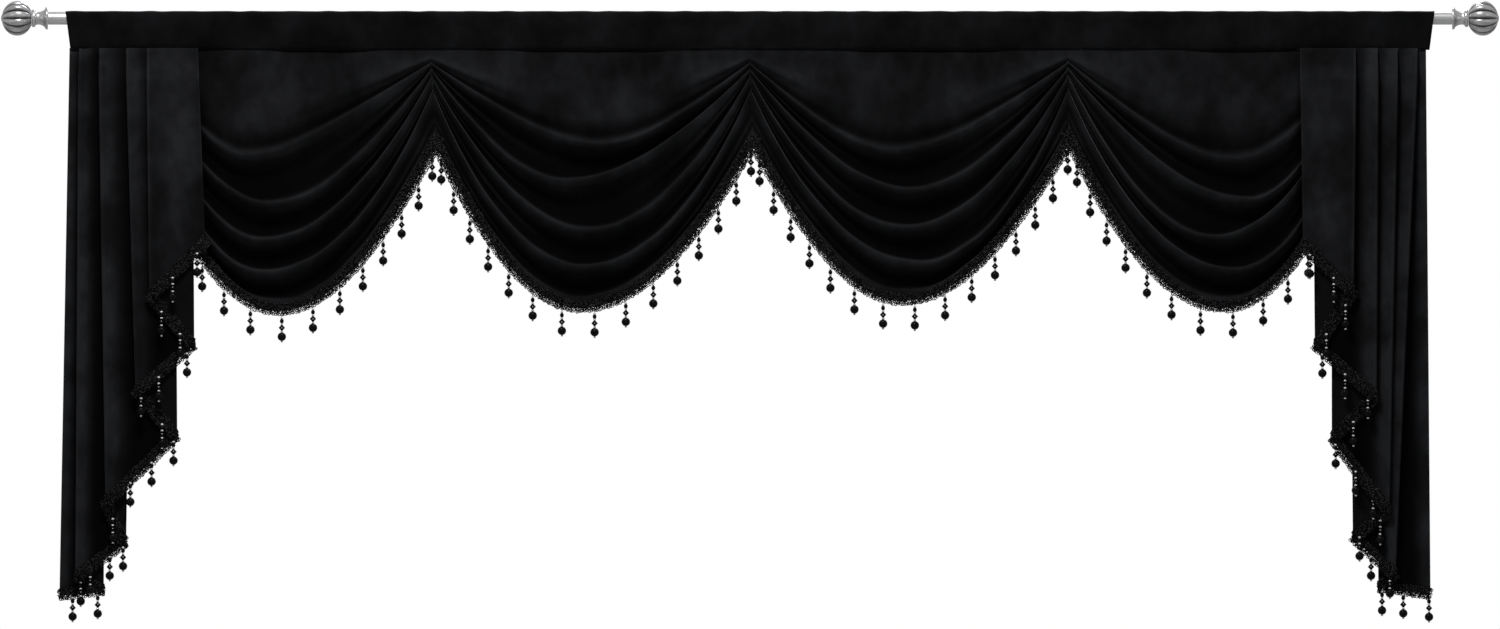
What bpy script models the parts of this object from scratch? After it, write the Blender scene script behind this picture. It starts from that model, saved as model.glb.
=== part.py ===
"""Swag valance on a curtain rod, in metres with +Z up; the viewer stands at -Y.

The origin is the middle of the rod's axis, and the rod lies along X. The cloth's header is
a sleeve round the rod. Four swags hang from the sleeve's seam, and a folded cascade covers
the outer end of the first and last swag. A trim with beaded drops follows every lower edge.
"""
import math
from collections import namedtuple

import bmesh
import bpy
from mathutils import Matrix, Vector

SEAT = 0.0003

# Rod and finials. Heights in a turned profile are measured outward from the rod's end.
ROD_RADIUS = 0.0127
ROD_HALF_LENGTH = 1.404
ROD_SIDES = 24
FLANGE_RADIUS = 0.0226
FLANGE_THICKNESS = 0.005
WAIST_RADIUS = 0.0124
WAIST_HEIGHT = 0.0205
RING_RADIUS = 0.0174
RING_HEIGHTS = (0.0255, 0.0278, 0.0312, 0.033)
BALL_RADIUS = 0.0355
BALL_HALF_LENGTH = 0.031
BALL_END_HEIGHT = 0.0926
FLUTES = 12
FLUTE_DEPTH = 0.09

# Header sleeve
SLEEVE_CLOTH = 0.002
SLEEVE_HALF_LENGTH = 1.369
SLEEVE_SLANT = 0.010
SLEEVE_BOTTOM_Z = -0.0631
SEAM_HALF_WIDTH = 0.0022

# Swags. A side seam leans from its x at the header to its x at the hem's peak.
SEAM_Z = SLEEVE_BOTTOM_Z - SEAT
PEAK_Z = -0.236
SIDE_SEAMS = (
    (-1.226, -1.226),
    (-0.640, -0.628),
    (-0.002, 0.006),
    (0.634, 0.638),
    (1.220, 1.220),
)
SEAM_HALF_GAP = 0.0002
SWAG_CLOTH = 0.0024
FOLD_DEPTH = 0.028
PLEAT_DEPTH = 0.0025
BELLY = 0.004
SHELF = 0.82
SWAG_COLUMNS = 14
FOLD_STEPS = (0.22, 0.5, SHELF, 0.91, 1.0)
FLAT_STEPS = (0.0, 0.45, SHELF, 0.91, 1.0)

# A fold line runs from side seam to side seam through its lowest point. Below one crest
# the cloth rounds back, and a shelf brings it forward again to the next one. A low bend makes
# the line pointed at its lowest point, and steep lifts it more near the seams.
Fold = namedtuple("Fold", "low_x low_z end_z bend steep")
Swag = namedtuple("Swag", "name first_drop drop_spacing drop_count folds")
SWAGS = (
    Swag("swag_1", 0.277, 0.0655, 11, (
        Fold(-0.980, SEAM_Z, SEAM_Z, 0.5, 0.00),
        Fold(-1.008, -0.271, -0.089, 0.3, 0.01),
        Fold(-0.964, -0.369, -0.101, 0.7, 0.06),
        Fold(-0.974, -0.441, -0.115, 0.9, 0.13),
        Fold(-0.970, -0.506, -0.143, 1.0, 0.22),
        Fold(-0.943, -0.578, PEAK_Z, 1.05, 0.00),
    )),
    Swag("swag_2", 0.030, 0.0664, 15, (
        Fold(-0.320, SEAM_Z, SEAM_Z, 0.5, 0.00),
        Fold(-0.300, -0.249, -0.089, 0.5, 0.01),
        Fold(-0.370, -0.323, -0.101, 0.7, 0.06),
        Fold(-0.320, -0.421, -0.115, 0.9, 0.13),
        Fold(-0.330, -0.495, -0.143, 1.0, 0.22),
        Fold(-0.338, -0.572, PEAK_Z, 1.3, 0.00),
    )),
    Swag("swag_3", 0.034, 0.0645, 15, (
        Fold(0.316, SEAM_Z, SEAM_Z, 0.5, 0.00),
        Fold(0.286, -0.261, -0.089, 0.5, 0.01),
        Fold(0.320, -0.341, -0.101, 0.7, 0.06),
        Fold(0.310, -0.416, -0.115, 0.9, 0.13),
        Fold(0.336, -0.487, -0.143, 1.0, 0.22),
        Fold(0.306, -0.558, PEAK_Z, 1.0, 0.00),
    )),
    Swag("swag_4", 0.0475, 0.0660, 11, (
        Fold(0.930, SEAM_Z, SEAM_Z, 0.5, 0.00),
        Fold(0.970, -0.279, -0.085, 0.5, 0.01),
        Fold(0.996, -0.361, -0.098, 0.7, 0.06),
        Fold(0.930, -0.436, -0.112, 0.9, 0.13),
        Fold(0.970, -0.502, -0.140, 1.0, 0.22),
        Fold(0.949, -0.572, -0.225, 1.0, 0.11),
    )),
)

# Cascades. A fold line is where the zigzag turns; at drops are the drops' places on the
# hem between that line and the next one.
CASCADE_CLOTH = 0.0016
CASCADE_BACK_Y = -0.0025
PLEAT_PITCH = 0.0022
LAYER_PITCH = 0.006
OPEN_Z = -0.120
Turn = namedtuple("Turn", "top_x hem_x hem_z drops")
CASCADES = {
    "left": (
        Turn(-1.104, -1.090, -0.440, (0.15, 0.60)),
        Turn(-1.204, -1.198, -0.548, (0.25, 0.70)),
        Turn(-1.118, -1.115, -0.647, (0.10, 0.61, 0.93)),
        Turn(-1.246, -1.226, -0.740, (0.65,)),
        Turn(-1.154, -1.149, -0.829, (0.03, 0.35, 0.66)),
        Turn(-1.300, -1.286, -0.960, (0.33,)),
        Turn(-1.236, -1.251, -1.042, (0.03, 0.31, 0.72)),
        Turn(-1.340, -1.346, -1.110, (0.15,)),
        Turn(-1.288, -1.296, -1.138, (0.10, 0.69)),
        Turn(-1.361, -1.381, -1.148, ()),
    ),
    "right": (
        Turn(1.100, 1.106, -0.446, (0.14, 0.63)),
        Turn(1.210, 1.204, -0.540, (0.18, 0.72)),
        Turn(1.128, 1.133, -0.648, (0.10, 0.49, 0.88)),
        Turn(1.254, 1.250, -0.750, (0.52,)),
        Turn(1.166, 1.167, -0.833, (0.04, 0.41, 0.73)),
        Turn(1.294, 1.276, -0.978, (0.23, 0.85)),
        Turn(1.201, 1.209, -1.032, (0.42, 0.90)),
        Turn(1.334, 1.288, -1.106, ()),
        Turn(1.256, 1.260, -1.132, (0.04, 0.46, 0.97)),
        Turn(1.352, 1.361, -1.146, ()),
    ),
}
LAYER_STEPS = (0.0, 0.5, 1.0)
CASCADE_ROWS = (0.3, 0.65, 1.0)

# Trim band below each hem, and the drops that hang from it
TRIM_CLOTH = 0.002
TRIM_GAP = 0.0005
TRIM_WIDTH = 0.016
ROOT_LENGTH = 0.005
DROP_SIDES = 4
CASCADE_DROP_TILT = math.radians(-7.5)
CASCADE_DROP_TOP = 0.008
# Height below the band's edge and radius, down a drop: cord, oval bead, diamond bead, ball
DROP_PROFILE = (
    (-ROOT_LENGTH, 0.0),
    (-ROOT_LENGTH, 0.0008),
    (0.008, 0.0008),
    (0.0128, 0.0032),
    (0.018, 0.0010),
    (0.0262, 0.0050),
    (0.035, 0.0012),
    (0.0395, 0.0073),
    (0.0485, 0.0073),
    (0.0524, 0.0),
)


def mix(a, b, share):
    return a + (b - a) * share


def smooth_step(value):
    value = min(max(value, 0.0), 1.0)
    return value * value * (3.0 - 2.0 * value)


def clear_scene():
    for item in list(bpy.data.objects):
        bpy.data.objects.remove(item, do_unlink=True)


def make_collection(name):
    collection = bpy.data.collections.new(name)
    bpy.context.scene.collection.children.link(collection)
    return collection


def make_material(name, colour, roughness, metallic=0.0):
    material = bpy.data.materials.new(name)
    material.use_nodes = True
    shader = material.node_tree.nodes["Principled BSDF"]
    shader.inputs["Base Color"].default_value = (*colour, 1.0)
    shader.inputs["Roughness"].default_value = roughness
    shader.inputs["Metallic"].default_value = metallic
    return material


def metal(name):
    return make_material(name, (0.50, 0.50, 0.51), 0.28, 1.0)


def velvet(name):
    return make_material(name, (0.012, 0.012, 0.014), 0.85)


def braid(name):
    return make_material(name, (0.010, 0.010, 0.010), 0.45)


def add_mesh_object(name, mesh, collection, material):
    mesh.materials.clear()
    mesh.materials.append(material)
    mesh.shade_smooth()
    mesh.set_sharp_from_angle(angle=math.radians(50))
    item = bpy.data.objects.new(name, mesh)
    collection.objects.link(item)
    return item


def mesh_from(bm, name):
    mesh = bpy.data.meshes.new(name)
    bm.to_mesh(mesh)
    bm.free()
    return mesh


def evaluated_mesh(item):
    """The object's shape with its modifiers, as a mesh of its own."""
    bpy.context.view_layer.update()
    graph = bpy.context.evaluated_depsgraph_get()
    return bpy.data.meshes.new_from_object(item.evaluated_get(graph))


def turned_mesh(name, profile, sides):
    """Turn (height, radius) points, highest first, round the Z axis."""
    mesh = bpy.data.meshes.new(name)
    points = [(radius, 0.0, height) for height, radius in profile]
    mesh.from_pydata(points, [(i, i + 1) for i in range(len(points) - 1)], [])
    item = bpy.data.objects.new(name, mesh)
    bpy.context.scene.collection.objects.link(item)
    screw = item.modifiers.new("turn", "SCREW")
    screw.axis = "Z"
    screw.steps = sides
    screw.render_steps = sides
    screw.use_merge_vertices = True
    screw.merge_threshold = 0.00001
    turned = evaluated_mesh(item)
    bpy.data.objects.remove(item, do_unlink=True)
    return turned


def cloth_sheet(columns, rows, point, backward):
    """A closed sheet on a grid whose front corner (column, row) lies at point(column, row).

    backward(column) leads from a front corner to the corner behind it.
    """
    bm = bmesh.new()
    bmesh.ops.create_grid(bm, x_segments=columns, y_segments=rows, size=1.0)
    behind = bm.verts.layers.float_vector.new("behind")
    for vertex in bm.verts:
        column = round((vertex.co.x + 1.0) / 2.0 * columns)
        row = round((vertex.co.y + 1.0) / 2.0 * rows)
        vertex.co = point(column, row)
        vertex[behind] = backward(column)
    pushed = bmesh.ops.extrude_face_region(bm, geom=bm.faces[:])
    for part in pushed["geom"]:
        if isinstance(part, bmesh.types.BMVert):
            part.co += part[behind]
    bmesh.ops.recalc_face_normals(bm, faces=bm.faces[:])
    return bm


def build_rod(collection):
    bm = bmesh.new()
    bmesh.ops.create_cone(
        bm, cap_ends=True, segments=ROD_SIDES, radius1=ROD_RADIUS, radius2=ROD_RADIUS,
        depth=2.0 * ROD_HALF_LENGTH, matrix=Matrix.Rotation(math.radians(90), 4, "Y"))
    add_mesh_object("rod", mesh_from(bm, "rod"), collection, metal("rod"))


def fluted_ball():
    """A ball along Z with grooves from end to end, flat where it meets the neck."""
    bm = bmesh.new()
    bmesh.ops.create_uvsphere(bm, u_segments=FLUTES * 3, v_segments=10, radius=1.0)
    middle = BALL_END_HEIGHT - BALL_HALF_LENGTH
    foot = RING_HEIGHTS[-1] + SEAT
    for vertex in bm.verts:
        turn = math.atan2(vertex.co.y, vertex.co.x) * FLUTES / math.tau
        groove = 1.0 - FLUTE_DEPTH * (1.0 - abs(math.sin(math.pi * turn))) ** 2
        vertex.co.x *= BALL_RADIUS * groove
        vertex.co.y *= BALL_RADIUS * groove
        vertex.co.z = max(middle + BALL_HALF_LENGTH * vertex.co.z, foot)
    return mesh_from(bm, "finial_ball")


def build_finials(collection):
    low, ring_low, ring_high, top = RING_HEIGHTS
    neck_profile = (
        (top, 0.0),
        (top, RING_RADIUS * 0.88),
        (ring_high, RING_RADIUS),
        (ring_low, RING_RADIUS),
        (low, RING_RADIUS * 0.80),
        (WAIST_HEIGHT, WAIST_RADIUS),
        (FLANGE_THICKNESS + 0.006, WAIST_RADIUS * 1.2),
        (FLANGE_THICKNESS, FLANGE_RADIUS * 0.92),
        (FLANGE_THICKNESS * 0.6, FLANGE_RADIUS),
        (SEAT, FLANGE_RADIUS * 0.94),
        (SEAT, 0.0),
    )
    neck = turned_mesh("finial_neck", neck_profile, ROD_SIDES)
    ball = fluted_ball()
    for side, direction in (("left", -1.0), ("right", 1.0)):
        place = Matrix.Translation((direction * ROD_HALF_LENGTH, 0.0, 0.0))
        place = place @ Matrix.Rotation(direction * math.radians(90), 4, "Y")
        for piece, mesh in (("neck", neck), ("ball", ball)):
            name = f"finial_{piece}_{side}"
            item = add_mesh_object(name, mesh.copy(), collection, metal(name))
            item.matrix_world = place


def sleeve_outline(rod_gap, bottom_half_width, bottom_z):
    """One closed loop of the sleeve's section, as (y, z): over the rod and down to a seam."""
    radius = ROD_RADIUS + rod_gap
    step = math.tau / ROD_SIDES
    quarter = ROD_SIDES // 4
    arc = [(-radius * math.cos(i * step), radius * math.sin(i * step))
           for i in range(2 * quarter + 1)]
    return arc + [(bottom_half_width, bottom_z), (-bottom_half_width, bottom_z)]


def build_sleeve(collection):
    """The header: a folded tube of cloth that hangs on the rod, open at both ends."""
    curve = bpy.data.curves.new("header_sleeve", "CURVE")
    curve.dimensions = "2D"
    curve.fill_mode = "BOTH"
    curve.extrude = SLEEVE_HALF_LENGTH
    inner_bottom = SLEEVE_BOTTOM_Z + 2.0 * SLEEVE_CLOTH
    loops = (
        sleeve_outline(SEAT + SLEEVE_CLOTH, SEAM_HALF_WIDTH, SLEEVE_BOTTOM_Z),
        sleeve_outline(SEAT, SEAM_HALF_WIDTH - 0.0014, inner_bottom),
    )
    for loop in loops:
        spline = curve.splines.new("POLY")
        spline.points.add(len(loop) - 1)
        for point, (y, z) in zip(spline.points, loop):
            point.co = (y, z, 0.0, 1.0)
        spline.use_cyclic_u = True
    guide = bpy.data.objects.new("header_outline", curve)
    collection.objects.link(guide)
    mesh = evaluated_mesh(guide)
    bpy.data.objects.remove(guide, do_unlink=True)
    bm = bmesh.new()
    bm.from_mesh(mesh)
    bmesh.ops.remove_doubles(bm, verts=bm.verts[:], dist=0.00001)
    for vertex in bm.verts:
        y, z, x = vertex.co
        drop = (ROD_RADIUS - z) / (ROD_RADIUS - SLEEVE_BOTTOM_Z)
        x -= math.copysign(SLEEVE_SLANT * max(drop, 0.0), x)
        vertex.co = (x, y, z)
    bmesh.ops.recalc_face_normals(bm, faces=bm.faces[:])
    name = "header_sleeve"
    add_mesh_object(name, mesh_from(bm, name), collection, velvet(name))


def side_seam_x(number, z):
    """Where a side seam stands at height z; it leans on below the hem's peak."""
    top_x, hem_x = SIDE_SEAMS[number]
    return mix(top_x, hem_x, (SEAM_Z - z) / (SEAM_Z - PEAK_Z))


def fold_rise(share, bend, steep):
    """Height of a fold line, 0 at its lowest point and 1 at the side seam."""
    soft = (math.hypot(share, bend) - bend) / (math.hypot(1.0, bend) - bend)
    return mix(soft, share ** 4, steep)


def fold_relief(level):
    """How far forward the cloth stands, 0 to 1, at a level counted in fold lines."""
    phase = level % 1.0
    if phase > SHELF:
        return smooth_step((phase - SHELF) / (1.0 - SHELF))
    if level < 1.0:
        return 0.0
    return math.cos(math.pi / 2.0 * phase / SHELF) ** 0.8


def swag_point(number, across, level):
    """A point on a swag: across runs -1 to 1 between its seams, level down its folds."""
    folds = SWAGS[number].folds
    above = min(int(level), len(folds) - 2)
    share = level - above
    values = [mix(a, b, share) for a, b in zip(folds[above], folds[above + 1])]
    low_x, low_z, end_z, bend, steep = values
    depth = level / (len(folds) - 1)
    reach = abs(across)
    seam_number = number if across < 0.0 else number + 1
    seam_x = side_seam_x(seam_number, end_z) - math.copysign(SEAM_HALF_GAP, across)
    x = mix(low_x, seam_x, reach)
    z = mix(low_z, end_z, fold_rise(reach, bend, steep))
    forward = mix(FOLD_DEPTH, PLEAT_DEPTH, reach ** 2.4) * fold_relief(level)
    y = -SWAG_CLOTH / 2.0 - BELLY * depth - forward
    return Vector((x, y, z))


def column_share(column):
    return 2.0 * column / SWAG_COLUMNS - 1.0


def swag_levels(number):
    levels = list(FLAT_STEPS)
    for crest in range(1, len(SWAGS[number].folds) - 1):
        levels += [crest + step for step in FOLD_STEPS]
    return levels


def build_swag(number, collection):
    levels = swag_levels(number)
    bm = cloth_sheet(
        SWAG_COLUMNS, len(levels) - 1,
        lambda column, row: swag_point(number, column_share(column), levels[row]),
        lambda column: Vector((0.0, SWAG_CLOTH, 0.0)))
    name = SWAGS[number].name
    add_mesh_object(name, mesh_from(bm, name), collection, velvet(name))


def swag_edge_point(number, column, distance):
    """A point off the swag's hem, square to it and kept between the side seams."""
    level = len(SWAGS[number].folds) - 1
    across = column_share(column)
    hem = swag_point(number, across, level)
    small = 0.01
    before = swag_point(number, max(across - small, -1.0), level)
    after = swag_point(number, min(across + small, 1.0), level)
    slope = after - before
    outward = Vector((slope.z, 0.0, -slope.x)).normalized()
    outward = (outward - Vector((0.0, 0.0, 1.5 * across ** 8))).normalized()
    place = hem + outward * distance
    left = side_seam_x(number, place.z) + SEAM_HALF_GAP
    right = side_seam_x(number + 1, place.z) - SEAM_HALF_GAP
    place.x = min(max(place.x, left), right)
    return place


def places_along(points, first, spacing, count):
    """Places at even steps along a polyline."""
    places = []
    for index in range(count):
        left = first + index * spacing
        for start, end in zip(points, points[1:]):
            length = (end - start).length
            if left <= length:
                places.append(start.lerp(end, left / length))
                break
            left -= length
    return places


def hang_drops(band, drop_mesh, places, tilt, guides):
    """Fuse a drop's root into the band at each place."""
    bm = bmesh.new()
    for place in places:
        before = len(bm.verts)
        bm.from_mesh(drop_mesh)
        bm.verts.ensure_lookup_table()
        turn = Matrix.Translation(place) @ Matrix.Rotation(tilt, 4, "X")
        bmesh.ops.transform(bm, matrix=turn, verts=bm.verts[before:])
    name = band.name + "_drops"
    drops = add_mesh_object(name, mesh_from(bm, name), guides, braid(name))
    drops.hide_render = True
    drops.display_type = "WIRE"
    union = band.modifiers.new("fuse drops", "BOOLEAN")
    union.operation = "UNION"
    union.solver = "EXACT"
    union.object = drops


def build_swag_trim(number, drop_mesh, collection, guides):
    edges = (TRIM_GAP, TRIM_WIDTH)
    bm = cloth_sheet(
        SWAG_COLUMNS, 1,
        lambda column, row: swag_edge_point(number, column, edges[row]),
        lambda column: Vector((0.0, TRIM_CLOTH, 0.0)))
    name = "trim_" + SWAGS[number].name
    band = add_mesh_object(name, mesh_from(bm, name), collection, braid(name))
    middle = Vector((0.0, TRIM_CLOTH / 2.0, 0.0))
    edge = [swag_edge_point(number, column, TRIM_WIDTH) + middle
            for column in range(SWAG_COLUMNS + 1)]
    swag = SWAGS[number]
    places = places_along(edge, swag.first_drop, swag.drop_spacing, swag.drop_count)
    hang_drops(band, drop_mesh, places, 0.0, guides)


def layer_y(layer, last_layer, z):
    """The depth of a cascade's layer; the layers open out below the pleats at the top."""
    share = min((SEAM_Z - z) / (SEAM_Z - OPEN_Z), 1.0)
    pitch = mix(PLEAT_PITCH, LAYER_PITCH, share)
    return CASCADE_BACK_Y - pitch * (last_layer - layer)


def cascade_columns(turns):
    """Columns of the zigzag from inner to outer edge.

    Each is (layer, top_x, hem_x, hem_z, forward), where forward is the way, in plan, from
    the middle of the cloth to its right side.
    """
    outer = math.copysign(1.0, turns[-1].top_x)
    columns = []
    for layer, (start, end) in enumerate(zip(turns, turns[1:])):
        facing = (0.0, -1.0 if layer % 2 == 0 else 1.0)
        for step in LAYER_STEPS:
            columns.append((
                layer, mix(start.top_x, end.top_x, step), mix(start.hem_x, end.hem_x, step),
                mix(start.hem_z, end.hem_z, step), facing))
        if layer < len(turns) - 2:
            bulge = math.copysign(0.5, end.top_x - start.top_x)
            columns.append((
                layer + 0.5, end.top_x + bulge * PLEAT_PITCH, end.hem_x + bulge * LAYER_PITCH,
                end.hem_z, (outer, 0.0)))
    return columns


def cascade_middle(turns, column, z):
    """A point in the middle of a cascade's cloth."""
    layer, top_x, hem_x, hem_z = column[:4]
    x = mix(top_x, hem_x, (SEAM_Z - z) / (SEAM_Z - hem_z))
    return Vector((x, layer_y(layer, len(turns) - 2, z), z))


def cascade_sheet(turns, heights):
    """The zigzag between rows of heights, which heights(hem_z) gives for a column."""
    columns = cascade_columns(turns)

    def forward(column):
        x, y = columns[column][4]
        return Vector((x, y, 0.0)) * (CASCADE_CLOTH / 2.0)

    def point(column, row):
        z = heights(columns[column][3])[row]
        return cascade_middle(turns, columns[column], z) + forward(column)

    row_count = len(heights(SEAM_Z)) - 1
    return cloth_sheet(len(columns) - 1, row_count, point, lambda column: -2.0 * forward(column))


def build_cascade(side, collection):
    def heights(hem_z):
        return [SEAM_Z, OPEN_Z] + [mix(OPEN_Z, hem_z, share) for share in CASCADE_ROWS]

    bm = cascade_sheet(CASCADES[side], heights)
    name = "cascade_" + side
    add_mesh_object(name, mesh_from(bm, name), collection, velvet(name))


def build_cascade_trim(side, drop_mesh, collection, guides):
    turns = CASCADES[side]
    bm = cascade_sheet(turns, lambda hem_z: (hem_z - TRIM_GAP, hem_z - TRIM_WIDTH))
    name = "trim_cascade_" + side
    band = add_mesh_object(name, mesh_from(bm, name), collection, braid(name))
    places = []
    for layer, (start, end) in enumerate(zip(turns, turns[1:])):
        for share in start.drops:
            hem_z = mix(start.hem_z, end.hem_z, share)
            column = (layer, mix(start.top_x, end.top_x, share),
                      mix(start.hem_x, end.hem_x, share), hem_z)
            places.append(cascade_middle(turns, column, hem_z - CASCADE_DROP_TOP))
    hang_drops(band, drop_mesh, places, CASCADE_DROP_TILT, guides)


def build():
    clear_scene()
    valance = make_collection("swag_valance_with_curtain_rod")
    guides = make_collection("guides")
    build_rod(valance)
    build_finials(valance)
    build_sleeve(valance)
    profile = [(-height, radius) for height, radius in DROP_PROFILE]
    drop_mesh = turned_mesh("drop", profile, DROP_SIDES)
    for number in range(len(SWAGS)):
        build_swag(number, valance)
        build_swag_trim(number, drop_mesh, valance, guides)
    for side in CASCADES:
        build_cascade(side, valance)
        build_cascade_trim(side, drop_mesh, valance, guides)


build()
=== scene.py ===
"""A velvet swag valance on a silver curtain rod, seen square from the front.

Metres, with X along the rod, -Y toward the room and Z up from the rod's axis.
"""
import math

import bmesh
import bpy
import numpy as np
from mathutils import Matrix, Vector


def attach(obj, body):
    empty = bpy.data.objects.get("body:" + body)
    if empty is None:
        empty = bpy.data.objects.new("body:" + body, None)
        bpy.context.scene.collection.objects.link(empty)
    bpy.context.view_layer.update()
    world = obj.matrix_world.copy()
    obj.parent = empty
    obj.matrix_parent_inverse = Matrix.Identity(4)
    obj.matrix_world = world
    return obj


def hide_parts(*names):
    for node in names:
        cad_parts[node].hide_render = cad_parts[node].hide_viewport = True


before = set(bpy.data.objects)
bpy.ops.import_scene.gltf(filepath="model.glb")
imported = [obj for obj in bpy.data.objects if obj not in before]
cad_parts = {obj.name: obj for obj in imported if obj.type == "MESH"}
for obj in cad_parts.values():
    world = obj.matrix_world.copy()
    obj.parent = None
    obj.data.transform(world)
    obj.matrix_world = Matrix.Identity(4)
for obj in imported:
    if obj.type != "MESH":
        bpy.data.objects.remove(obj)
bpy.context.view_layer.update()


# The camera stands square to the wall and far off, so the picture has no perspective. The
# room is white, with a large soft light above in front, one above behind, a weak one from each
# side, and a pale floor well below the valance.
PICTURE_WIDTH = 3.0
PICTURE_MIDDLE_Z = -0.5924
CAMERA_Y = -6.0
FLOOR_Z = -2.35
FLOOR_SIZE = 14.0
ROOM_LIGHT = 0.04
ROOM_IN_GLOSS = 0.55

camera_data = bpy.data.cameras.new("front_camera")
camera_data.type = "ORTHO"
camera_data.ortho_scale = PICTURE_WIDTH
camera_data.clip_end = 60.0
camera = bpy.data.objects.new("front_camera", camera_data)
camera.location = (0.0, CAMERA_Y, PICTURE_MIDDLE_Z)
camera.rotation_euler = (math.radians(90.0), 0.0, 0.0)
bpy.context.collection.objects.link(camera)
bpy.context.scene.camera = camera
bpy.context.scene.view_settings.view_transform = "Standard"
bpy.context.scene.view_settings.look = "None"


def soft_light(name, place, target, size, power):
    """A flat light of that width and height, aimed at the target."""
    data = bpy.data.lights.new(name, "AREA")
    data.shape = "RECTANGLE"
    data.size, data.size_y = size
    data.energy = power
    light = bpy.data.objects.new(name, data)
    light.location = place
    aim = Vector(target) - Vector(place)
    light.rotation_euler = aim.to_track_quat("-Z", "Y").to_euler()
    bpy.context.collection.objects.link(light)


soft_light("key_light", (-0.8, -3.0, 4.4), (0.0, 0.0, -0.4), (1.6, 1.0), 250.0)
soft_light("left_light", (-4.0, -3.2, 0.6), (-0.4, 0.0, -0.5), (1.2, 1.6), 6.0)
soft_light("right_light", (4.0, -3.2, 0.6), (0.4, 0.0, -0.5), (1.2, 1.6), 6.0)
soft_light("back_light", (0.6, 3.4, 3.0), (0.0, 0.0, -0.4), (1.8, 1.0), 110.0)

# The camera sees a plain white room. Glossy rays see it dimmer, and it lights the cloth
# only a little, so that the folds keep their shadows.
world = bpy.data.worlds.new("white_room")
world.use_nodes = True
bpy.context.scene.world = world
world_nodes, world_links = world.node_tree.nodes, world.node_tree.links
world_nodes.clear()
seen_white = world_nodes.new("ShaderNodeBackground")
seen_white.inputs["Color"].default_value = (1.0, 1.0, 1.0, 1.0)
room_light = world_nodes.new("ShaderNodeBackground")
room_light.inputs["Color"].default_value = (0.94, 0.97, 1.0, 1.0)
room_light.inputs["Strength"].default_value = ROOM_LIGHT
light_path = world_nodes.new("ShaderNodeLightPath")
seen_rays = world_nodes.new("ShaderNodeMath")
seen_rays.operation = "MULTIPLY_ADD"
seen_rays.inputs[1].default_value = ROOM_IN_GLOSS
seen_rays.use_clamp = True
room_mix = world_nodes.new("ShaderNodeMixShader")
world_output = world_nodes.new("ShaderNodeOutputWorld")
world_links.new(light_path.outputs["Is Glossy Ray"], seen_rays.inputs[0])
world_links.new(light_path.outputs["Is Camera Ray"], seen_rays.inputs[2])
world_links.new(seen_rays.outputs["Value"], room_mix.inputs["Fac"])
world_links.new(room_light.outputs["Background"], room_mix.inputs[1])
world_links.new(seen_white.outputs["Background"], room_mix.inputs[2])
world_links.new(room_mix.outputs["Shader"], world_output.inputs["Surface"])

floor_mesh = bpy.data.meshes.new("floor")
half_floor = FLOOR_SIZE / 2.0
floor_mesh.from_pydata(
    [(-half_floor, -half_floor, FLOOR_Z), (half_floor, -half_floor, FLOOR_Z),
     (half_floor, half_floor, FLOOR_Z), (-half_floor, half_floor, FLOOR_Z)], [], [(0, 1, 2, 3)])
floor = bpy.data.objects.new("floor", floor_mesh)
bpy.context.collection.objects.link(floor)
floor_paint = bpy.data.materials.new("floor_paint")
floor_paint.use_nodes = True
floor_shader = floor_paint.node_tree.nodes["Principled BSDF"]
floor_shader.inputs["Base Color"].default_value = (0.82, 0.82, 0.81, 1.0)
floor_shader.inputs["Roughness"].default_value = 0.85
floor_mesh.materials.append(floor_paint)


# The rod is a plain round steel tube with a satin silver coat. It is drawn and polished
# along its length, so fine streaks run along it. It is turned here from a short profile.
ROD_RADIUS = 0.0127
ROD_HALF_LENGTH = 1.404
ROD_EDGE = 0.0008
TURNED_SIDES = 64
WELD_DISTANCE = 1e-6


def add_piece(name, mesh, material, angle=None):
    """A new object for the mesh, at the origin, with one material."""
    mesh.materials.append(material)
    mesh.shade_smooth()
    if angle is not None:
        mesh.set_sharp_from_angle(angle=math.radians(angle))
    piece = bpy.data.objects.new(name, mesh)
    bpy.context.collection.objects.link(piece)
    return piece


def grid_mesh(name, points, wrap=False):
    """A mesh from rows and columns of points; wrap closes each row into a ring.

    Its right side faces the room where rows run down and columns run to the right.
    """
    rows, columns = points.shape[:2]
    corner = np.arange(rows * columns).reshape(rows, columns)
    if wrap:
        corner = np.concatenate([corner, corner[:, :1]], axis=1)
    faces = np.stack(
        [corner[:-1, :-1], corner[1:, :-1], corner[1:, 1:], corner[:-1, 1:]], axis=-1)
    mesh = bpy.data.meshes.new(name)
    mesh.from_pydata(points.reshape(-1, 3).tolist(), [], faces.reshape(-1, 4).tolist())
    return mesh


def turned_mesh(name, profile, sides, start_x, direction):
    """Turn (height, radius) points round the rod's axis, outward from start_x."""
    angle = np.linspace(0.0, math.tau, sides, endpoint=False)
    heights, radii = np.array(profile).T
    points = np.stack([
        np.repeat((start_x + direction * heights)[:, None], sides, axis=1),
        radii[:, None] * np.cos(angle), radii[:, None] * np.sin(angle)], axis=-1)
    mesh = grid_mesh(name, points, wrap=True)
    weld_and_face_out(mesh)
    return mesh


def lay_values(mesh, name, values):
    """Keep a value at each point of a mesh, for its material to read."""
    layer = mesh.attributes.new(name, "FLOAT", "POINT")
    layer.data.foreach_set("value", np.ascontiguousarray(values, dtype=np.float32).ravel())


def weld_and_face_out(mesh):
    """Join points that coincide and turn every face outwards."""
    bm = bmesh.new()
    bm.from_mesh(mesh)
    bmesh.ops.remove_doubles(bm, verts=bm.verts, dist=WELD_DISTANCE)
    bmesh.ops.recalc_face_normals(bm, faces=bm.faces)
    bm.to_mesh(mesh)
    bm.free()


def node_material(name):
    """A material with its nodes, its links and its main shader."""
    material = bpy.data.materials.new(name)
    material.use_nodes = True
    tree = material.node_tree
    return material, tree.nodes, tree.links, tree.nodes["Principled BSDF"]


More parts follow.
